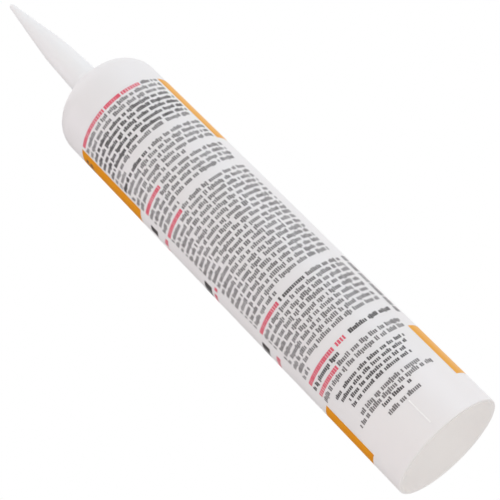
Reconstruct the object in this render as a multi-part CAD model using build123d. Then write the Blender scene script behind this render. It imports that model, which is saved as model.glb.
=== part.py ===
"""Caulk tube: a moulded cartridge with its own closed nozzle, a foil seal, the fill and a follower piston.

The tube stands on its open rear rim, the nozzle points up, and the origin is at the centre of the rim.
Lengths are in millimetres.
"""
import os
from math import radians, sqrt, tan

from build123d import *

# Tube: a straight wall, open at the rear rim
tube_outer_diameter = 50.0
tube_wall = 1.5
tube_length = 214.0
rim_outer_bevel = 0.4
rim_lead_in = 0.3

# Shoulder: a rounded corner that runs into a cone, as thick as the tube wall
shoulder_corner_radius = 12.0
shoulder_slope = 35.0

# Nozzle: a slim cone, steeper above its knee, closed at the tip until it is cut
nozzle_base_diameter = 14.3
nozzle_base_fillet = 6.0
nozzle_knee_diameter = 11.8
nozzle_knee_height = 24.9
nozzle_length = 60.1
nozzle_tip_diameter = 2.2
nozzle_tip_round = 0.9
nozzle_wall = 1.3
nozzle_bore_end_diameter = 0.8
nozzle_tip_thickness = 4.5

# Inner seal: a foil disc on the flat seat round the nozzle's inlet
seat_diameter = 20.0
seal_edge_margin = 0.4
seal_thickness = 0.3

# Piston: a moulded cup with two flared sealing lips and a bevelled crown that fits under the shoulder
piston_recess = 26.0
piston_clearance = 0.05
piston_side_height = 13.0
piston_wall = 2.5
crown_bevel_width = 3.5
lip_flare = 2.5
lip_height = 0.85
rib_count = 8
rib_thickness = 1.2
rib_depth = 7.0

# Fill: the sealant between the piston and the inner seal
fill_wall_clearance = 0.1
fill_piston_gap = 0.3

tube_radius = tube_outer_diameter / 2
bore_radius = tube_radius - tube_wall
inner_corner_radius = shoulder_corner_radius - tube_wall
lip_radius = bore_radius - piston_clearance
waist_radius = lip_radius - lip_height
cup_radius = lip_radius - piston_wall
crown_height = piston_recess + piston_side_height
nose_radius = lip_radius - crown_bevel_width
hollow_nose_radius = nose_radius - piston_wall / 2


def shoulder_edges(side_radius, start_height, corner_radius, end_radius):
    """Corner arc and cone that run from a straight side in to end_radius."""
    corner = JernArc((side_radius, start_height), (0, 1), corner_radius, 90 - shoulder_slope)
    run = (corner @ 1).X - end_radius
    cone = Line(corner @ 1, corner @ 1 + Vector(-run, run * tan(radians(shoulder_slope))))
    return [corner, cone]


def shoulder_rise(radius):
    """Height of the shoulder's inside above the end of the bore, at a radius."""
    corner, cone = shoulder_edges(bore_radius, 0, inner_corner_radius, radius)
    if radius < (corner @ 1).X:
        return (cone @ 1).Y
    return sqrt(inner_corner_radius**2 - (radius - bore_radius + inner_corner_radius) ** 2)


nose_height = crown_height + shoulder_rise(nose_radius)


def revolved(outline, rounded_corners=()):
    """Solid of revolution about Z of a closed outline of (radius, height) edges."""
    profile = make_face(outline)
    for corner, radius in rounded_corners:
        profile = fillet(profile.vertices().sort_by_distance(corner)[0], radius)
    return revolve(Plane.XZ * profile, Axis.Z)


def make_cartridge():
    """Tube, shoulder and nozzle, moulded as one hollow piece that is open at the rear."""
    outer = shoulder_edges(tube_radius, tube_length, shoulder_corner_radius, nozzle_base_diameter / 2)
    inner = shoulder_edges(bore_radius, tube_length, inner_corner_radius, seat_diameter / 2)
    base = outer[-1] @ 1
    seat = inner[-1] @ 1
    knee = Vector(nozzle_knee_diameter / 2, base.Y + nozzle_knee_height)
    tip = Vector(nozzle_tip_diameter / 2, base.Y + nozzle_length)
    bore_end = Vector(nozzle_bore_end_diameter / 2, tip.Y - nozzle_tip_thickness)
    side = Polyline(
        (bore_radius + rim_lead_in, 0),
        (tube_radius - rim_outer_bevel, 0),
        (tube_radius, rim_outer_bevel),
        (tube_radius, tube_length),
    )
    nozzle = Polyline(
        base,
        knee,
        tip,
        (0, tip.Y),
        (0, bore_end.Y),
        bore_end,
        (base.X - nozzle_wall, seat.Y),
        seat,
    )
    bore = Polyline((bore_radius, tube_length), (bore_radius, rim_lead_in), (bore_radius + rim_lead_in, 0))
    rounded_corners = [
        (base, nozzle_base_fillet),
        (tip, nozzle_tip_round),
    ]
    return revolved([side, *outer, nozzle, *inner, bore], rounded_corners)


def make_inner_seal():
    """Foil disc, sealed face to face on the seat under the nozzle's inlet."""
    downward = (Align.CENTER, Align.CENTER, Align.MAX)
    disc = Cylinder(seat_diameter / 2 - seal_edge_margin, seal_thickness, align=downward)
    return Pos(0, 0, tube_length + shoulder_rise(seat_diameter / 2)) * disc


def make_piston():
    """Follower cup: flared lips that wipe the bore, a bevelled crown, and ribs under the crown."""
    hollow_top = nose_height - piston_wall
    outline = Polyline(
        (cup_radius, piston_recess),
        (lip_radius, piston_recess),
        (waist_radius, piston_recess + lip_flare),
        (waist_radius, crown_height - lip_flare),
        (lip_radius, crown_height),
        (nose_radius, nose_height),
        (0, nose_height),
        (0, hollow_top),
        (hollow_nose_radius, hollow_top),
        (cup_radius, crown_height),
        close=True,
    )
    cup = revolved([outline])

    hollow = Polyline(
        (0, piston_recess),
        (cup_radius, piston_recess),
        (cup_radius, crown_height),
        (hollow_nose_radius, hollow_top),
        (0, hollow_top),
        close=True,
    )
    web = Box(cup_radius, rib_thickness, rib_depth, align=(Align.MIN, Align.CENTER, Align.MIN))
    rib = Pos(0, 0, hollow_top - rib_depth) * web & revolved([hollow])
    return cup + [Rot(0, 0, turn * 360 / rib_count) * rib for turn in range(rib_count)]


def make_sealant():
    """Fill of the bore, with the crown's hollow behind and a taper up to the inner seal in front."""
    fill_radius = bore_radius - fill_wall_clearance
    seal_underside = tube_length + shoulder_rise(seat_diameter / 2) - seal_thickness
    outline = Polyline(
        (0, nose_height + fill_piston_gap),
        (nose_radius, nose_height + fill_piston_gap),
        (fill_radius, crown_height + fill_piston_gap),
        (fill_radius, tube_length),
        (seat_diameter / 2, seal_underside),
        (0, seal_underside),
        close=True,
    )
    return revolved([outline])


pieces = {
    "cartridge": make_cartridge(),
    "inner_seal": make_inner_seal(),
    "piston": make_piston(),
    "sealant": make_sealant(),
}

os.makedirs("parts", exist_ok=True)
for name, piece in pieces.items():
    export_step(piece, f"parts/{name}.step")
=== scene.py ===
"""Caulk tube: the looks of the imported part, piece by piece as it is put together.

Lengths are in metres in the part's own frame: rear rim on z = 0, nozzle up, panel of fine rows at -Y.
"""
from math import ceil, cos, pi, radians, sin, tan

import bpy
from mathutils import Matrix, Vector


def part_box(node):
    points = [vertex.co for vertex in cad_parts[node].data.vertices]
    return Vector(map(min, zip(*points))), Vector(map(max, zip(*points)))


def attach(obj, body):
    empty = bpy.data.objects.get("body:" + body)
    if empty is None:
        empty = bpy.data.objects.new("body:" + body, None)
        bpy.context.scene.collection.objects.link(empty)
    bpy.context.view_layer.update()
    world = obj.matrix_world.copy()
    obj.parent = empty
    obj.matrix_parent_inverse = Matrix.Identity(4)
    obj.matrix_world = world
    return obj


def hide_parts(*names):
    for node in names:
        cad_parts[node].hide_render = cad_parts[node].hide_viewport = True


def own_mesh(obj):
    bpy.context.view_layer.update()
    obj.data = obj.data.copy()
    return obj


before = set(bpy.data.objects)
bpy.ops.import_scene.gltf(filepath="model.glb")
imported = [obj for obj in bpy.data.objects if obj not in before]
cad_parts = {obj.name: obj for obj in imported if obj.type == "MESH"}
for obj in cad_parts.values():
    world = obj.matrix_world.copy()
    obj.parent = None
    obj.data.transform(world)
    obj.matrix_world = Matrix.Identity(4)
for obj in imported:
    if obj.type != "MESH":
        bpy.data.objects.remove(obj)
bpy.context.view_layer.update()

# Cartridge. Tube, domed shoulder and closed nozzle are one injection moulding of white high-density
# polyethylene with a wall of 1.5 mm. It is open at the rear rim, where it is filled and where the
# piston goes in.
mm = 0.001
ink_film = 0.02 * mm
tube_wall = 1.5 * mm
tube_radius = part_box("cartridge")[1].x
tip_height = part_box("cartridge")[1].z
seat_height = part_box("inner_seal")[1].z
bore_radius = tube_radius - tube_wall
skin_radius = tube_radius - ink_film
rim_round = 0.55 * mm
shoulder_corner_radius = 12 * mm
shoulder_slope = radians(35)
nozzle_length = 60.1 * mm
nozzle_base_radius = 7.15 * mm
nozzle_base_fillet = 6 * mm
nozzle_knee_radius = 5.9 * mm
nozzle_knee_height = 24.9 * mm
nozzle_knee_round = 120 * mm
nozzle_tip_radius = 1.1 * mm
nozzle_tip_round = 0.9 * mm
nozzle_inlet_radius = 5.85 * mm
nozzle_bore_end_radius = 0.4 * mm
nozzle_tip_thickness = 4.5 * mm
seat_radius = 10 * mm
seat_round = 0.5 * mm


def linear(hex_colour):
    """Linear RGBA of an sRGB hex colour."""
    channels = [int(hex_colour[i:i + 2], 16) / 255 for i in (1, 3, 5)]
    return (*[c / 12.92 if c <= 0.04045 else ((c + 0.055) / 1.055) ** 2.4 for c in channels], 1)


def add_node(tree, kind, inputs, **settings):
    """Adds a node with its settings, and links or sets its inputs."""
    node = tree.nodes.new(kind)
    for name, value in settings.items():
        setattr(node, name, value)
    for socket, value in inputs.items():
        if isinstance(value, bpy.types.NodeSocket):
            tree.links.new(value, node.inputs[socket])
        else:
            node.inputs[socket].default_value = value
    return node


def new_material(name, **constants):
    """A material with its node tree and its Principled shader, whose sockets take the constants."""
    material = bpy.data.materials.new(name)
    material.use_nodes = True
    shader = material.node_tree.nodes["Principled BSDF"]
    for socket, value in constants.items():
        shader.inputs[socket.replace("_", " ")].default_value = value
    return material, material.node_tree, shader


def shape_tree(name, **inputs):
    """A Geometry Nodes tree with its input sockets, from named inputs and their socket types."""
    tree = bpy.data.node_groups.new(name, "GeometryNodeTree")
    tree.interface.new_socket("Geometry", in_out="OUTPUT", socket_type="NodeSocketGeometry")
    tree.interface.new_socket("Geometry", in_out="INPUT", socket_type="NodeSocketGeometry")
    for label, kind in inputs.items():
        tree.interface.new_socket(label.replace("_", " "), in_out="INPUT", socket_type=kind)
    return tree, tree.nodes.new("NodeGroupInput").outputs


def shaped(name, tree, points, edges=(), **values):
    """A plain mesh piece that the tree makes from the points and edges."""
    piece = bpy.data.objects.new(name, bpy.data.meshes.new(name))
    piece.data.from_pydata(points, edges, [])
    bpy.context.scene.collection.objects.link(piece)
    modifier = piece.modifiers.new(tree.name, "NODES")
    modifier.node_group = tree
    for socket in tree.interface.items_tree:
        if socket.in_out == "INPUT" and socket.name.replace(" ", "_") in values:
            modifier[socket.identifier] = values[socket.name.replace(" ", "_")]
    evaluated = piece.evaluated_get(bpy.context.evaluated_depsgraph_get())
    mesh = bpy.data.meshes.new_from_object(evaluated)
    piece.modifiers.remove(modifier)
    piece.data = mesh
    mesh.name = name
    return piece


def rounded_outline(corners):
    """Points of an outline of (radius, height, rounding) corners, with each rounding as an arc."""
    arc_step = radians(5)
    points = [Vector((corners[0][0], 0, corners[0][1]))]
    for before, corner, after in zip(corners, corners[1:], corners[2:]):
        place = Vector((corner[0], 0, corner[1]))
        back = (Vector((before[0], 0, before[1])) - place).normalized()
        ahead = (Vector((after[0], 0, after[1])) - place).normalized()
        half = back.angle(ahead) / 2
        centre = place + (back + ahead).normalized() * corner[2] / sin(half)
        start = place + back * corner[2] / tan(half) - centre
        end = place + ahead * corner[2] / tan(half) - centre
        steps = ceil((pi - 2 * half) / arc_step) + 1
        points += [centre + corner[2] * start.slerp(end, step / steps) for step in range(steps + 1)]
    return points + [Vector((corners[-1][0], 0, corners[-1][1]))]


# An outline is turned about Z: each ring of a grid takes the radius and height of one outline point.
ring_rounding = 0.0001
weld_distance = 1e-7
turned, given = shape_tree(
    "turned_about_the_axis", Segments="NodeSocketInt", Material="NodeSocketMaterial"
)
tree = turned
outline_size = add_node(
    tree, "GeometryNodeAttributeDomainSize", {0: given["Geometry"]}, component="MESH"
)
ring_size = add_node(tree, "ShaderNodeMath", {0: given["Segments"], 1: 1.0}, operation="ADD")
grid = add_node(
    tree,
    "GeometryNodeMeshGrid",
    {"Vertices X": outline_size.outputs["Point Count"], "Vertices Y": ring_size.outputs[0]},
)
index = add_node(tree, "GeometryNodeInputIndex", {})
ring = add_node(
    tree, "ShaderNodeMath", {0: index.outputs[0], 1: ring_size.outputs[0]}, operation="DIVIDE"
)
safe_ring = add_node(
    tree, "ShaderNodeMath", {0: ring.outputs[0], 1: ring_rounding}, operation="ADD"
)
ring_number = add_node(tree, "ShaderNodeMath", {0: safe_ring.outputs[0]}, operation="FLOOR")
step = add_node(
    tree, "ShaderNodeMath", {0: index.outputs[0], 1: ring_size.outputs[0]}, operation="MODULO"
)
share = add_node(
    tree, "ShaderNodeMath", {0: step.outputs[0], 1: given["Segments"]}, operation="DIVIDE"
)
turn = add_node(tree, "ShaderNodeMath", {0: share.outputs[0], 1: 2 * pi}, operation="MULTIPLY")
position = add_node(tree, "GeometryNodeInputPosition", {})
outline_point = add_node(
    tree,
    "GeometryNodeSampleIndex",
    {
        "Geometry": given["Geometry"],
        "Value": position.outputs[0],
        "Index": ring_number.outputs[0],
    },
    data_type="FLOAT_VECTOR",
)
swung = add_node(
    tree,
    "ShaderNodeVectorRotate",
    {"Vector": outline_point.outputs[0], "Angle": turn.outputs[0]},
    rotation_type="Z_AXIS",
)
body = add_node(
    tree,
    "GeometryNodeSetPosition",
    {"Geometry": grid.outputs["Mesh"], "Position": swung.outputs[0]},
)
closed = add_node(
    tree, "GeometryNodeMergeByDistance", {"Geometry": body.outputs[0], "Distance": weld_distance}
)
smooth = add_node(tree, "GeometryNodeSetShadeSmooth", {"Geometry": closed.outputs[0]})
real = add_node(tree, "GeometryNodeRealizeInstances", {"Geometry": smooth.outputs[0]})
coated = add_node(
    tree, "GeometryNodeSetMaterial", {"Geometry": real.outputs[0], "Material": given["Material"]}
)
add_node(tree, "NodeGroupOutput", {"Geometry": coated.outputs[0]})

# Moulded polyethylene: waxy white, soft gloss, a little light goes into the wall. The tube below the
# seat is painted slightly darker and pinker than the nozzle. This is painted light: the nozzle's
# lighter colour stands for the light that shines through its thin, empty wall. The tint clouds where
# the wall cools unevenly, and the core leaves faint drag lines along the axis. The grain is drawn
# coarser than the real one, which is too fine to show.
tint_cloud_size = 22 * mm
gloss_patch_size = 6 * mm
grain_size = 0.9 * mm
grain_depth = 0.01 * mm
drag_line_spacing = 1.3 * mm
drag_line_length = 60 * mm
painted_nozzle_light_fade = 6 * mm
polyethylene, tree, shader = new_material(
    "white_moulded_polyethylene",
    IOR=1.54,
    Subsurface_Weight=0.4,
    Subsurface_Radius=(1.0, 0.95, 0.92),
    Subsurface_Scale=2 * mm,
)
place = add_node(tree, "ShaderNodeTexCoord", {}).outputs["Object"]
cloud = add_node(
    tree, "ShaderNodeTexNoise", {"Vector": place, "Scale": 1 / tint_cloud_size, "Detail": 3.0}
)
tint = add_node(
    tree,
    "ShaderNodeMix",
    {0: cloud.outputs["Fac"], 6: linear("#EFEDEC"), 7: linear("#EBE8E8")},
    data_type="RGBA",
)
height = add_node(tree, "ShaderNodeSeparateXYZ", {"Vector": place}).outputs["Z"]
# Painted light: 1 below the seat and 0 on the nozzle, which keeps the lighter tint that stands for
# light through its thin wall.
filled = add_node(
    tree,
    "ShaderNodeMapRange",
    {
        "Value": height,
        "From Min": seat_height - painted_nozzle_light_fade,
        "From Max": seat_height + painted_nozzle_light_fade,
        "To Min": 1.0,
        "To Max": 0.0,
    },
    interpolation_type="SMOOTHSTEP",
)
# Painted light: below the seat the tint is multiplied by a darker, pinker shade.
tint_with_painted_nozzle_light = add_node(
    tree,
    "ShaderNodeMix",
    {0: filled.outputs[0], 6: tint.outputs[2], 7: linear("#FCFAFA")},
    data_type="RGBA",
    blend_type="MULTIPLY",
)
patch = add_node(
    tree, "ShaderNodeTexNoise", {"Vector": place, "Scale": 1 / gloss_patch_size, "Detail": 4.0}
)
gloss = add_node(
    tree, "ShaderNodeMapRange", {"Value": patch.outputs["Fac"], "To Min": 0.36, "To Max": 0.52}
)
drawn = add_node(
    tree,
    "ShaderNodeMapping",
    {"Vector": place, "Scale": (1, 1, drag_line_spacing / drag_line_length)},
)
drag = add_node(
    tree,
    "ShaderNodeTexNoise",
    {"Vector": drawn.outputs[0], "Scale": 1 / drag_line_spacing, "Detail": 2.0},
)
grain = add_node(
    tree, "ShaderNodeTexNoise", {"Vector": place, "Scale": 1 / grain_size, "Detail": 3.0}
)
relief = add_node(
    tree, "ShaderNodeMath", {0: drag.outputs["Fac"], 1: grain.outputs["Fac"]}, operation="ADD"
)
bump = add_node(
    tree, "ShaderNodeBump", {"Height": relief.outputs[0], "Strength": 0.3, "Distance": grain_depth}
)
tree.links.new(tint_with_painted_nozzle_light.outputs[2], shader.inputs["Base Color"])
tree.links.new(gloss.outputs[0], shader.inputs["Roughness"])
tree.links.new(bump.outputs[0], shader.inputs["Normal"])

nozzle_base_height = tip_height - nozzle_length
corner_height = nozzle_base_height - (tube_radius - nozzle_base_radius) * tan(shoulder_slope)
inner_corner_height = seat_height - (bore_radius - seat_radius) * tan(shoulder_slope)
cartridge_outline = rounded_outline([
    (0, tip_height, 0),
    (nozzle_tip_radius, tip_height, nozzle_tip_round),
    (nozzle_knee_radius, nozzle_base_height + nozzle_knee_height, nozzle_knee_round),
    (nozzle_base_radius, nozzle_base_height, nozzle_base_fillet),
    (skin_radius, corner_height, shoulder_corner_radius),
    (skin_radius, 0, rim_round),
    (bore_radius, 0, rim_round),
    (bore_radius, inner_corner_height, shoulder_corner_radius - tube_wall),
    (seat_radius, seat_height, seat_round),
    (nozzle_inlet_radius, seat_height, seat_round),
    (nozzle_bore_end_radius, tip_height - nozzle_tip_thickness, nozzle_bore_end_radius / 2),
    (0, tip_height - nozzle_tip_thickness, 0),
])
cartridge = shaped(
    "moulded_cartridge", turned, cartridge_outline, Segments=240, Material=polyethylene
)
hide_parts("cartridge")
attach(cartridge, "cartridge")

# Print. The tube is printed all round by dry offset, in orange, red and black inks that dry as thin
# films on the plastic. The flat artwork holds plain fields and rows of small blocks and is wrapped
# round the tube: its X runs round the tube from -Y, and its Y is the depth of the film.
row_pitch = 2.95 * mm

# Angles round the tube, in degrees from -Y
panel_left = -56.5
panel_right = 60.5
panel_middle = 1.8


def wrapped(tree, geometry, given):
    """Bends flat artwork round the tube."""
    flat = add_node(tree, "GeometryNodeInputPosition", {})
    part = add_node(tree, "ShaderNodeSeparateXYZ", {0: flat.outputs[0]})
    radius = given["Tube Radius"]
    angle = add_node(tree, "ShaderNodeMath", {0: part.outputs["X"], 1: radius}, operation="DIVIDE")
    depth = add_node(tree, "ShaderNodeMath", {0: radius, 1: part.outputs["Y"]}, operation="ADD")
    back = add_node(tree, "ShaderNodeMath", {0: depth.outputs[0], 1: -1.0}, operation="MULTIPLY")
    spoke = add_node(tree, "ShaderNodeCombineXYZ", {"Y": back.outputs[0], "Z": part.outputs["Z"]})
    bent = add_node(
        tree,
        "ShaderNodeVectorRotate",
        {"Vector": spoke.outputs[0], "Angle": angle.outputs[0]},
        rotation_type="Z_AXIS",
    )
    return add_node(
        tree, "GeometryNodeSetPosition", {"Geometry": geometry, "Position": bent.outputs[0]}
    )


# Rows of blocks: slots along each edge, one slot in each word's length left empty, a block in the
# others. Some blocks reach above the row and some below it, by a share of their height.
reach_share = 0.3
low_seed = 7
narrowest_share = 0.8
widest_share = 1.15
printed_rows, given = shape_tree(
    "printed_rows",
    Word_Slots="NodeSocketInt",
    Slot_Pitch="NodeSocketFloat",
    Block_Width="NodeSocketFloat",
    Block_Height="NodeSocketFloat",
    Block_Divisions="NodeSocketInt",
    Tall_Share="NodeSocketFloat",
    Low_Share="NodeSocketFloat",
    Seed="NodeSocketInt",
    Film="NodeSocketFloat",
    Tube_Radius="NodeSocketFloat",
    Ink="NodeSocketMaterial",
)
tree = printed_rows
lines = add_node(tree, "GeometryNodeMeshToCurve", {"Mesh": given["Geometry"]})
slots = add_node(
    tree,
    "GeometryNodeCurveToPoints",
    {"Curve": lines.outputs[0], "Length": given["Slot Pitch"]},
    mode="LENGTH",
)
index = add_node(tree, "GeometryNodeInputIndex", {})
word = add_node(
    tree, "ShaderNodeMath", {0: index.outputs[0], 1: given["Word Slots"]}, operation="DIVIDE"
)
word_number = add_node(tree, "ShaderNodeMath", {0: word.outputs[0]}, operation="FLOOR")
place_in_word = add_node(
    tree, "ShaderNodeMath", {0: index.outputs[0], 1: given["Word Slots"]}, operation="MODULO"
)
last_place = add_node(
    tree, "ShaderNodeMath", {0: given["Word Slots"], 1: 1.0}, operation="SUBTRACT"
)
empty_place = add_node(
    tree,
    "FunctionNodeRandomValue",
    {4: 0, 5: last_place.outputs[0], "ID": word_number.outputs[0], "Seed": given["Seed"]},
    data_type="INT",
)
empty = add_node(
    tree,
    "FunctionNodeCompare",
    {2: place_in_word.outputs[0], 3: empty_place.outputs[2]},
    data_type="INT",
    operation="EQUAL",
)
filled = add_node(
    tree,
    "GeometryNodeDeleteGeometry",
    {"Geometry": slots.outputs["Points"], "Selection": empty.outputs[0]},
)
tall = add_node(
    tree,
    "FunctionNodeRandomValue",
    {"Probability": given["Tall Share"], "Seed": given["Seed"]},
    data_type="BOOLEAN",
)
low = add_node(
    tree,
    "FunctionNodeRandomValue",
    {"Probability": given["Low Share"], "Seed": low_seed},
    data_type="BOOLEAN",
)
reach = add_node(tree, "ShaderNodeMath", {0: tall.outputs[3], 1: low.outputs[3]}, operation="ADD")
height = add_node(
    tree, "ShaderNodeMath", {0: reach.outputs[0], 1: reach_share, 2: 1.0}, operation="MULTIPLY_ADD"
)
drop = add_node(tree, "ShaderNodeMath", {0: low.outputs[3], 1: -reach_share}, operation="MULTIPLY")
foot = add_node(tree, "ShaderNodeMath", {0: drop.outputs[0], 1: -0.5}, operation="ADD")
foot_height = add_node(
    tree, "ShaderNodeMath", {0: foot.outputs[0], 1: given["Block Height"]}, operation="MULTIPLY"
)
row_turn = add_node(
    tree,
    "FunctionNodeAlignRotationToVector",
    {"Vector": slots.outputs["Tangent"]},
    axis="X",
    pivot_axis="Y",
)
below = add_node(tree, "ShaderNodeCombineXYZ", {"Z": foot_height.outputs[0]})
feet = add_node(
    tree,
    "FunctionNodeRotateVector",
    {"Vector": below.outputs[0], "Rotation": row_turn.outputs[0]},
)
seated = add_node(
    tree, "GeometryNodeSetPosition", {"Geometry": filled.outputs[0], "Offset": feet.outputs[0]}
)
width = add_node(
    tree,
    "FunctionNodeRandomValue",
    {2: narrowest_share, 3: widest_share, "Seed": given["Seed"]},
    data_type="FLOAT",
)
block_scale = add_node(
    tree, "ShaderNodeCombineXYZ", {"X": width.outputs[1], "Y": 1.0, "Z": height.outputs[0]}
)
thickness = add_node(tree, "ShaderNodeMath", {0: given["Film"], 1: 2.0}, operation="MULTIPLY")
block_size = add_node(
    tree,
    "ShaderNodeCombineXYZ",
    {"X": given["Block Width"], "Y": thickness.outputs[0], "Z": given["Block Height"]},
)
block = add_node(
    tree,
    "GeometryNodeMeshCube",
    {
        "Size": block_size.outputs[0],
        "Vertices X": given["Block Divisions"],
        "Vertices Z": given["Block Divisions"],
    },
)
sunk = add_node(tree, "ShaderNodeMath", {0: given["Film"], 1: -1.0}, operation="MULTIPLY")
half_height = add_node(
    tree, "ShaderNodeMath", {0: given["Block Height"], 1: 0.5}, operation="MULTIPLY"
)
footing = add_node(
    tree, "ShaderNodeCombineXYZ", {"Y": sunk.outputs[0], "Z": half_height.outputs[0]}
)
stood = add_node(
    tree,
    "GeometryNodeTransform",
    {"Geometry": block.outputs["Mesh"], "Translation": footing.outputs[0]},
)
blocks = add_node(
    tree,
    "GeometryNodeInstanceOnPoints",
    {
        "Points": seated.outputs[0],
        "Instance": stood.outputs[0],
        "Rotation": row_turn.outputs[0],
        "Scale": block_scale.outputs[0],
    },
)
real = add_node(tree, "GeometryNodeRealizeInstances", {"Geometry": blocks.outputs[0]})
bent = wrapped(tree, real.outputs[0], given)
inked = add_node(
    tree, "GeometryNodeSetMaterial", {"Geometry": bent.outputs[0], "Material": given["Ink"]}
)
add_node(tree, "NodeGroupOutput", {"Geometry": inked.outputs[0]})

# A plain field is one thin slab, divided along the tube's round so that it bends.
field_divisions = 181
printed_field, given = shape_tree(
    "printed_field",
    Width="NodeSocketFloat",
    Height="NodeSocketFloat",
    Place="NodeSocketVector",
    Film="NodeSocketFloat",
    Tube_Radius="NodeSocketFloat",
    Ink="NodeSocketMaterial",
)
tree = printed_field
thickness = add_node(tree, "ShaderNodeMath", {0: given["Film"], 1: 2.0}, operation="MULTIPLY")
slab_size = add_node(
    tree,
    "ShaderNodeCombineXYZ",
    {"X": given["Width"], "Y": thickness.outputs[0], "Z": given["Height"]},
)
slab = add_node(
    tree, "GeometryNodeMeshCube", {"Size": slab_size.outputs[0], "Vertices X": field_divisions}
)
sunk = add_node(tree, "ShaderNodeMath", {0: given["Film"], 1: -1.0}, operation="MULTIPLY")
inward = add_node(tree, "ShaderNodeCombineXYZ", {"Y": sunk.outputs[0]})
centre = add_node(
    tree, "ShaderNodeVectorMath", {0: given["Place"], 1: inward.outputs[0]}, operation="ADD"
)
put = add_node(
    tree,
    "GeometryNodeTransform",
    {"Geometry": slab.outputs["Mesh"], "Translation": centre.outputs[0]},
)
bent = wrapped(tree, put.outputs[0], given)
real = add_node(tree, "GeometryNodeRealizeInstances", {"Geometry": bent.outputs[0]})
inked = add_node(
    tree, "GeometryNodeSetMaterial", {"Geometry": real.outputs[0], "Material": given["Ink"]}
)
add_node(tree, "NodeGroupOutput", {"Geometry": inked.outputs[0]})


def ink(name, full, thin, painted_light_drift=0.0):
    """Dried offset ink: a soft gloss, a film that thins in clouds, and painted light that shifts it to
    the thin colour towards the lit +X side.
    """
    density_cloud_size = 2.4 * mm
    material, tree, shader = new_material(name, IOR=1.5, Specular_IOR_Level=0.25)
    place = add_node(tree, "ShaderNodeTexCoord", {}).outputs["Object"]
    cloud = add_node(
        tree,
        "ShaderNodeTexNoise",
        {"Vector": place, "Scale": 1 / density_cloud_size, "Detail": 4.0},
    )
    across = add_node(tree, "ShaderNodeSeparateXYZ", {"Vector": place}).outputs["X"]
    # Painted light: towards the tube's lit +X side the colour moves to the thin, lighter and yellower
    # one.
    painted_light_lean = add_node(
        tree,
        "ShaderNodeMapRange",
        {"Value": across, "From Min": -tube_radius, "From Max": tube_radius, "To Max": painted_light_drift},
    )
    thinned_and_painted_light = add_node(
        tree,
        "ShaderNodeMath",
        {0: cloud.outputs["Fac"], 1: painted_light_lean.outputs[0]},
        operation="ADD",
        use_clamp=True,
    )
    density = add_node(
        tree,
        "ShaderNodeMix",
        {0: thinned_and_painted_light.outputs[0], 6: linear(full), 7: linear(thin)},
        data_type="RGBA",
    )
    gloss = add_node(
        tree, "ShaderNodeMapRange", {"Value": cloud.outputs["Fac"], "To Min": 0.28, "To Max": 0.43}
    )
    tree.links.new(density.outputs[2], shader.inputs["Base Color"])
    tree.links.new(gloss.outputs[0], shader.inputs["Roughness"])
    return material


# The orange's lit +X side is painted lighter and yellower.
orange_ink = ink("orange_offset_ink", "#E6860C", "#EBA206", painted_light_drift=0.5)
red_ink = ink("red_offset_ink", "#DE586C", "#E66A7C")
bold_ink = ink("black_offset_ink", "#565252", "#625E5E")
fine_ink = ink("thin_black_offset_ink", "#787373", "#848080")

# Each style: ink, slot in the record, slots in a word, pitch of the slots, width and height of a
# block in mm, its divisions, and the shares of the blocks that reach above and below the row.
print_styles = {
    "fine": (fine_ink, "print_black", 6, 0.92, 0.7, 1.55, 2, 0.35, 0.12),
    "bold": (bold_ink, "print_black", 7, 0.98, 0.84, 1.5, 2, 0.3, 0.08),
    "small_bold": (bold_ink, "print_black", 6, 0.9, 0.72, 1.3, 2, 0.25, 0.0),
    "red": (red_ink, "print_red", 1000, 1.1, 0.955, 1.9, 2, 0.0, 0.0),
    "along": (bold_ink, "print_black", 8, 0.8, 0.56, 3.5, 5, 0.0, 0.0),
    "display_black": (bold_ink, "print_black", 8, 5.2, 4.2, 4.6, 9, 0.2, 0.0),
    "display_red": (red_ink, "print_red", 8, 2.3, 1.9, 1.8, 5, 0.2, 0.1),
}
rows = {style: [] for style in print_styles}


def print_row(style, height, start, end):
    """One row of a style at a height in mm, from one angle round the tube to another."""
    rows[style].append([
        (radians(start) * tube_radius, 0, height * mm),
        (radians(end) * tube_radius, 0, height * mm),
    ])


def print_paragraph(top, count, last_end, lead, lead_spans, first_start, bold_lines=()):
    """A justified block of rows: its first spans in the lead style, its last row shorter."""
    for start, end in lead_spans:
        print_row(lead, top, start, end)
    for line in range(count):
        start = panel_left if line else first_start
        end = panel_right if line < count - 1 else last_end
        style = "bold" if line in bold_lines else "fine"
        print_row(style, top - line * row_pitch / mm, start, end)


# The panel at -Y: paragraphs from the top down, then short rows about its middle.
print_paragraph(201.7, 10, -38, "red", [(-54, -32), (-29, -9), (-5, 13), (17, 37)], 41, range(3, 8))
print_paragraph(172.4, 5, 20, "bold", [(-56, -47), (-43, -7)], -2)
print_paragraph(157.2, 5, -19, "red", [(-56, -22)], -18)
print_paragraph(142.2, 20, -13, "red", [(-56, -23)], -19)
print_paragraph(82.6, 10, -43, "red", [(-56, -19)], 20)
print_row("bold", 82.6, -14, 15)
print_paragraph(52.6, 2, -11, "red", [(-56, -12), (-6, 3)], 6, (0, 1))
print_paragraph(46.4, 2, 57, "red", [(-56, -47), (-44, -21)], -17)
for style, height, half_width in (
    ("small_bold", 39.2, 45),
    ("small_bold", 36.7, 42),
    ("small_bold", 34.2, 35),
    ("small_bold", 31.7, 37),
    ("fine", 27.0, 36),
    ("fine", 24.5, 47),
    ("small_bold", 22.0, 16),
    ("fine", 18.2, 19),
):
    print_row(style, height, panel_middle - half_width, panel_middle + half_width)

# One row runs along the axis on the panel's right.
axis_row_angle = 72.7
axis_row_top = 84
axis_row_foot = 51
rows["along"].append([
    (radians(axis_row_angle) * tube_radius, 0, height * mm) for height in (axis_row_top, axis_row_foot)
])

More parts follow.
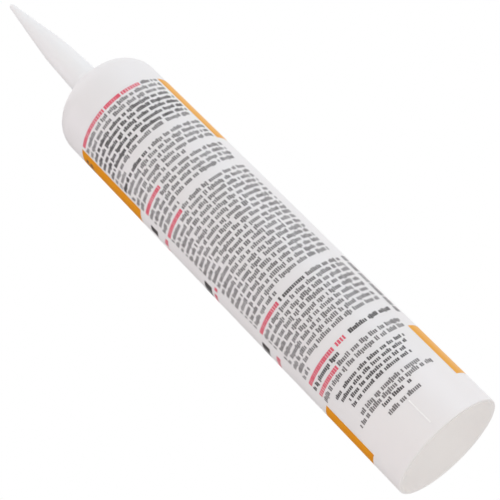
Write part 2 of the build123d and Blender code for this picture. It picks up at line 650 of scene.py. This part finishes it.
# The tube's +Y side carries two bold rows at its top, and large rows below them.
for style, height, start, end in (
    ("bold", 199.5, -250, -71),
    ("bold", 196.5, -250, -71),
    ("display_black", 182, -241, -119),
    ("display_black", 152, -255, -71),
    ("display_red", 143.5, -255, -66),
    ("display_black", 116, -255, -71),
    ("display_red", 111, -255, -62),
    ("display_black", 79, -255, -72),
    ("display_red", 71, -255, -68),
):
    print_row(style, height, start, end)

for seed, (style, facts) in enumerate(print_styles.items()):
    style_ink, slot, word_slots, pitch, width, height, divisions, tall_share, low_share = facts
    ends = [point for row in rows[style] for point in row]
    pairs = [(2 * row, 2 * row + 1) for row in range(len(rows[style]))]
    print_piece = shaped(
        f"print_{style}",
        printed_rows,
        ends,
        pairs,
        Word_Slots=word_slots,
        Slot_Pitch=pitch * mm,
        Block_Width=width * mm,
        Block_Height=height * mm,
        Block_Divisions=divisions,
        Tall_Share=tall_share,
        Low_Share=low_share,
        Seed=seed,
        Film=ink_film,
        Tube_Radius=tube_radius,
        Ink=style_ink,
    )
    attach(print_piece, "cartridge")

# The orange is printed first and lies a little deeper than the rows over it. Each field has its first
# and last angle, and its lower and upper edge in mm.
orange_depth = 0.008 * mm
for name, start, end, low_edge, high_edge in (
    ("print_orange_front", 65, 300, 161.5, 202.8),
    ("print_orange_rear", 62.5, 298, 15, 42.5),
):
    middle_along = radians((start + end) / 2) * tube_radius
    middle_height = (low_edge + high_edge) / 2 * mm
    orange = shaped(
        name,
        printed_field,
        [(0, 0, 0)],
        Width=radians(end - start) * tube_radius,
        Height=(high_edge - low_edge) * mm,
        Place=Vector((middle_along, -orange_depth, middle_height)),
        Film=ink_film,
        Tube_Radius=tube_radius,
        Ink=orange_ink,
    )
    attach(orange, "cartridge")

# Near the rim, a thin film runs along the axis. It is paler and duller than the skin around it.
pale_line_angle = 4.5
pale_line_width = 0.55 * mm
pale_line_low = 4.5 * mm
pale_line_high = 16.5 * mm
line_mottle_size = 0.8 * mm
pale_line_plastic, tree, shader = new_material("scuffed_polyethylene", IOR=1.54)
place = add_node(tree, "ShaderNodeTexCoord", {}).outputs["Object"]
line_mottle = add_node(
    tree, "ShaderNodeTexNoise", {"Vector": place, "Scale": 1 / line_mottle_size, "Detail": 3.0}
)
tint = add_node(
    tree,
    "ShaderNodeMix",
    {0: line_mottle.outputs["Fac"], 6: linear("#F8F4F2"), 7: linear("#FFFCFA")},
    data_type="RGBA",
)
gloss = add_node(
    tree, "ShaderNodeMapRange", {"Value": line_mottle.outputs["Fac"], "To Min": 0.5, "To Max": 0.7}
)
tree.links.new(tint.outputs[2], shader.inputs["Base Color"])
tree.links.new(gloss.outputs[0], shader.inputs["Roughness"])
pale_line = shaped(
    "scuff_line",
    printed_field,
    [(0, 0, 0)],
    Width=pale_line_width,
    Height=pale_line_high - pale_line_low,
    Place=Vector((radians(pale_line_angle) * tube_radius, 0, (pale_line_low + pale_line_high) / 2)),
    Film=ink_film,
    Tube_Radius=tube_radius,
    Ink=pale_line_plastic,
)
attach(pale_line, "cartridge")

# Inner seal. A disc of lacquered aluminium foil, heat sealed on the seat under the nozzle until it is
# pierced. Rolling leaves fine bright lines all one way, under the lacquer's soft gloss.
foil_grain_spacing = 0.25 * mm
foil_grain_length = 6 * mm
foil, tree, shader = new_material("rolled_aluminium_foil", Metallic=1.0)
place = add_node(tree, "ShaderNodeTexCoord", {}).outputs["Object"]
drawn = add_node(
    tree,
    "ShaderNodeMapping",
    {"Vector": place, "Scale": (foil_grain_spacing / foil_grain_length, 1, 1)},
)
rolled = add_node(
    tree,
    "ShaderNodeTexNoise",
    {"Vector": drawn.outputs[0], "Scale": 1 / foil_grain_spacing, "Detail": 2.0},
)
tint = add_node(
    tree,
    "ShaderNodeMix",
    {0: rolled.outputs["Fac"], 6: linear("#C9CACC"), 7: linear("#DCDDDE")},
    data_type="RGBA",
)
gloss = add_node(
    tree, "ShaderNodeMapRange", {"Value": rolled.outputs["Fac"], "To Min": 0.22, "To Max": 0.4}
)
tree.links.new(tint.outputs[2], shader.inputs["Base Color"])
tree.links.new(gloss.outputs[0], shader.inputs["Roughness"])
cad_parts["inner_seal"].data.materials.clear()
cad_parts["inner_seal"].data.materials.append(foil)

# Sealant. A white silicone paste that fills the bore from the piston's crown to the inner seal, and
# the shoulder under it. In the real tube it gives way as the piston comes forward; here it is one
# fixed shape. It has a wet, soft gloss and faint swirls from filling.
paste_swirl_size = 9 * mm
fill_piston_gap = 0.3 * mm
fill_bottom, fill_top = (corner.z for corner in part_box("sealant"))
fill_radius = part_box("sealant")[1].x
fill_front_round = 1 * mm
fill_rear_round = 0.1 * mm
crown_nose_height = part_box("piston")[1].z + fill_piston_gap
crown_nose_radius = 19.95 * mm
bore_end_height = 214 * mm
paste, tree, shader = new_material(
    "white_silicone_paste", IOR=1.41, Subsurface_Weight=0.3, Subsurface_Scale=2 * mm
)
place = add_node(tree, "ShaderNodeTexCoord", {}).outputs["Object"]
swirl = add_node(
    tree,
    "ShaderNodeTexNoise",
    {"Vector": place, "Scale": 1 / paste_swirl_size, "Detail": 3.0, "Distortion": 1.5},
)
tint = add_node(
    tree,
    "ShaderNodeMix",
    {0: swirl.outputs["Fac"], 6: linear("#EDECE8"), 7: linear("#E4E2DD")},
    data_type="RGBA",
)
gloss = add_node(
    tree, "ShaderNodeMapRange", {"Value": swirl.outputs["Fac"], "To Min": 0.25, "To Max": 0.4}
)
tree.links.new(tint.outputs[2], shader.inputs["Base Color"])
tree.links.new(gloss.outputs[0], shader.inputs["Roughness"])
fill_outline = rounded_outline([
    (0, fill_top, 0),
    (seat_radius, fill_top, fill_front_round),
    (fill_radius, bore_end_height, fill_front_round),
    (fill_radius, fill_bottom, fill_rear_round),
    (crown_nose_radius, crown_nose_height, fill_rear_round),
    (0, crown_nose_height, 0),
])
fill = shaped("paste_fill", turned, fill_outline, Segments=96, Material=paste)
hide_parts("sealant")
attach(fill, "cartridge")
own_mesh(fill)

# Piston. A follower cup moulded in natural polyethylene, with two lips that wipe the bore and ribs
# under its crown. The gun's pusher drives it forward by its rear rim. The unpigmented plastic is a
# milky, slightly yellow white, with a fine matt grain from the mould.
piston_cloud_size = 12 * mm
piston_grain_size = 0.7 * mm
piston_grain_depth = 0.02 * mm
natural, tree, shader = new_material(
    "natural_moulded_polyethylene",
    IOR=1.54,
    Subsurface_Weight=0.25,
    Subsurface_Radius=(1.0, 0.95, 0.85),
    Subsurface_Scale=1.5 * mm,
)
place = add_node(tree, "ShaderNodeTexCoord", {}).outputs["Object"]
cloud = add_node(
    tree, "ShaderNodeTexNoise", {"Vector": place, "Scale": 1 / piston_cloud_size, "Detail": 3.0}
)
tint = add_node(
    tree,
    "ShaderNodeMix",
    {0: cloud.outputs["Fac"], 6: linear("#E6E3DA"), 7: linear("#DEDACF")},
    data_type="RGBA",
)
grain = add_node(
    tree, "ShaderNodeTexNoise", {"Vector": place, "Scale": 1 / piston_grain_size, "Detail": 3.0}
)
gloss = add_node(
    tree, "ShaderNodeMapRange", {"Value": grain.outputs["Fac"], "To Min": 0.4, "To Max": 0.6}
)
bump = add_node(
    tree,
    "ShaderNodeBump",
    {"Height": grain.outputs["Fac"], "Strength": 0.3, "Distance": piston_grain_depth},
)
tree.links.new(tint.outputs[2], shader.inputs["Base Color"])
tree.links.new(gloss.outputs[0], shader.inputs["Roughness"])
tree.links.new(bump.outputs[0], shader.inputs["Normal"])
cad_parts["piston"].data.materials.clear()
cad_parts["piston"].data.materials.append(natural)

# Studio. A pale paper floor under the rim, a white surround, one large soft lamp on the tube's right,
# a weaker one high on its left, and a dim ball in the open rear end, in place of the light that comes
# through the bare wall there.
floor_radius = 1.5
floor_sides = 64
floor_gap = 0.05 * mm
floor_fade_start = 0.25
floor_angles = [side * 2 * pi / floor_sides for side in range(floor_sides)]
floor_mesh = bpy.data.meshes.new("floor")
floor_mesh.from_pydata(
    [(floor_radius * cos(angle), floor_radius * sin(angle), -floor_gap) for angle in floor_angles],
    [],
    [range(floor_sides)],
)
floor = bpy.data.objects.new("floor", floor_mesh)
bpy.context.scene.collection.objects.link(floor)
floor.visible_diffuse = False
floor.visible_shadow = False

# Paper: matt, with a faint mottle of fibres. The camera looks up from below the floor, so the paper is
# clear from its underside and keeps the tube's shadow on its top. It fades out far from the tube.
paper_fibre_size = 4 * mm
paper, tree, shader = new_material("white_paper_floor", Roughness=0.9, Specular_IOR_Level=0.0)
place = add_node(tree, "ShaderNodeTexCoord", {}).outputs["Object"]
fibre = add_node(
    tree, "ShaderNodeTexNoise", {"Vector": place, "Scale": 1 / paper_fibre_size, "Detail": 3.0}
)
tint = add_node(
    tree,
    "ShaderNodeMix",
    {0: fibre.outputs["Fac"], 6: linear("#F8F7F5"), 7: linear("#FCFCFB")},
    data_type="RGBA",
)
tree.links.new(tint.outputs[2], shader.inputs["Base Color"])
under = add_node(tree, "ShaderNodeNewGeometry", {}).outputs["Backfacing"]
reach = add_node(tree, "ShaderNodeVectorMath", {0: place}, operation="LENGTH")
fade = add_node(
    tree,
    "ShaderNodeMapRange",
    {"Value": reach.outputs["Value"], "From Min": floor_fade_start, "From Max": floor_radius},
    interpolation_type="SMOOTHSTEP",
)
open_share = add_node(tree, "ShaderNodeMath", {0: under, 1: fade.outputs[0]}, operation="MAXIMUM")
clear = add_node(tree, "ShaderNodeBsdfTransparent", {})
sided = add_node(
    tree,
    "ShaderNodeMixShader",
    {0: open_share.outputs[0], 1: shader.outputs[0], 2: clear.outputs[0]},
)
tree.links.new(sided.outputs[0], tree.nodes["Material Output"].inputs["Surface"])
floor_mesh.materials.append(paper)

# The surround is plain white where it is seen, and lights the tube a little less.
surround_level = 0.833
world = bpy.data.worlds.new("white_surround")
world.use_nodes = True
bpy.context.scene.world = world
tree = world.node_tree
tree.nodes.clear()
rays = add_node(tree, "ShaderNodeLightPath", {}).outputs
seen = add_node(
    tree, "ShaderNodeMath", {0: rays["Is Camera Ray"], 1: rays["Is Glossy Ray"]}, operation="MAXIMUM"
)
shown = add_node(
    tree, "ShaderNodeMath", {0: seen.outputs[0], 1: rays["Is Transmission Ray"]}, operation="MAXIMUM"
)
ambient = add_node(
    tree, "ShaderNodeBackground", {"Color": linear("#FFFEFC"), "Strength": surround_level}
)
white = add_node(tree, "ShaderNodeBackground", {"Color": (1, 1, 1, 1), "Strength": 1.0})
mixed = add_node(
    tree, "ShaderNodeMixShader", {0: shown.outputs[0], 1: ambient.outputs[0], 2: white.outputs[0]}
)
add_node(tree, "ShaderNodeOutputWorld", {"Surface": mixed.outputs[0]})

# A dark card on the tube's left shows only in its gloss, and keeps that side's colours deep.
card_side = -0.45
card_near = -0.6
card_far = 1.4
card_low = -0.7
card_high = 1.4
card_mesh = bpy.data.meshes.new("dark_card")
card_mesh.from_pydata(
    [
        (card_side, card_near, card_low),
        (card_side, card_far, card_low),
        (card_side, card_far, card_high),
        (card_side, card_near, card_high),
    ],
    [],
    [range(4)],
)
card = bpy.data.objects.new("dark_card", card_mesh)
bpy.context.scene.collection.objects.link(card)
card.visible_camera = False
card.visible_diffuse = False
card.visible_transmission = False
card.visible_shadow = False
black_paper = new_material("black_paper_card", Base_Color=linear("#181818"), Roughness=0.9)[0]
card_mesh.materials.append(black_paper)


def add_lamp(name, place, aim, size, power, colour):
    """A flat soft lamp at a place, turned to its aim."""
    data = bpy.data.lights.new(name, "AREA")
    data.energy = power
    data.color = linear(colour)[:3]
    data.size = size
    lamp = bpy.data.objects.new(name, data)
    lamp.location = place
    lamp.rotation_euler = (Vector(aim) - Vector(place)).to_track_quat("-Z", "Y").to_euler()
    bpy.context.scene.collection.objects.link(lamp)


tube_middle = Vector((0, 0, 0.14))
shoulder = Vector((0, 0, 0.2))
add_lamp(
    "key_lamp", place=(1.1, -0.5, 0.45), aim=tube_middle, size=0.9, power=3.97, colour="#D8EBFF"
)
add_lamp(
    "left_lamp", place=(-0.9, -0.35, 0.7), aim=shoulder, size=0.7, power=2.07, colour="#F2EBFF"
)
glow_radius = 12 * mm
glow_height = 16 * mm
glow_data = bpy.data.lights.new("bore_glow", "POINT")
glow_data.energy = 0.0063
glow_data.color = linear("#F5FDFF")[:3]
glow_data.shadow_soft_size = glow_radius
glow = bpy.data.objects.new("bore_glow", glow_data)
glow.location = (0, 0, glow_height)
glow.visible_camera = False
bpy.context.scene.collection.objects.link(glow)

# The photograph's view: a long lens that looks 25 degrees up along +Y, rolled so that the tube lies
# aslant.
picture_size = 500
focal_length_in_pixels = 1618.3
camera_distance = 0.67065
camera_aim = Vector((-0.82 * mm, 0, 118.57 * mm))
camera_drop = radians(25.356)
camera_roll = radians(-44.629)
camera_data = bpy.data.cameras.new("camera")
camera_data.sensor_width = 36
camera_data.lens = focal_length_in_pixels / picture_size * camera_data.sensor_width
camera_data.clip_start = 0.01
camera = bpy.data.objects.new("camera", camera_data)
bpy.context.scene.collection.objects.link(camera)
back = Vector((0, -cos(camera_drop), -sin(camera_drop)))
right = (-back).cross(Vector((0, 0, 1))).normalized()
up = right.cross(-back)
picture_right = cos(camera_roll) * right + sin(camera_roll) * up
picture_up = cos(camera_roll) * up - sin(camera_roll) * right
turn = Matrix((picture_right, picture_up, back)).transposed().to_4x4()
camera.matrix_world = Matrix.Translation(camera_aim + camera_distance * back) @ turn
bpy.context.scene.camera = camera
bpy.context.scene.view_settings.view_transform = "Standard"
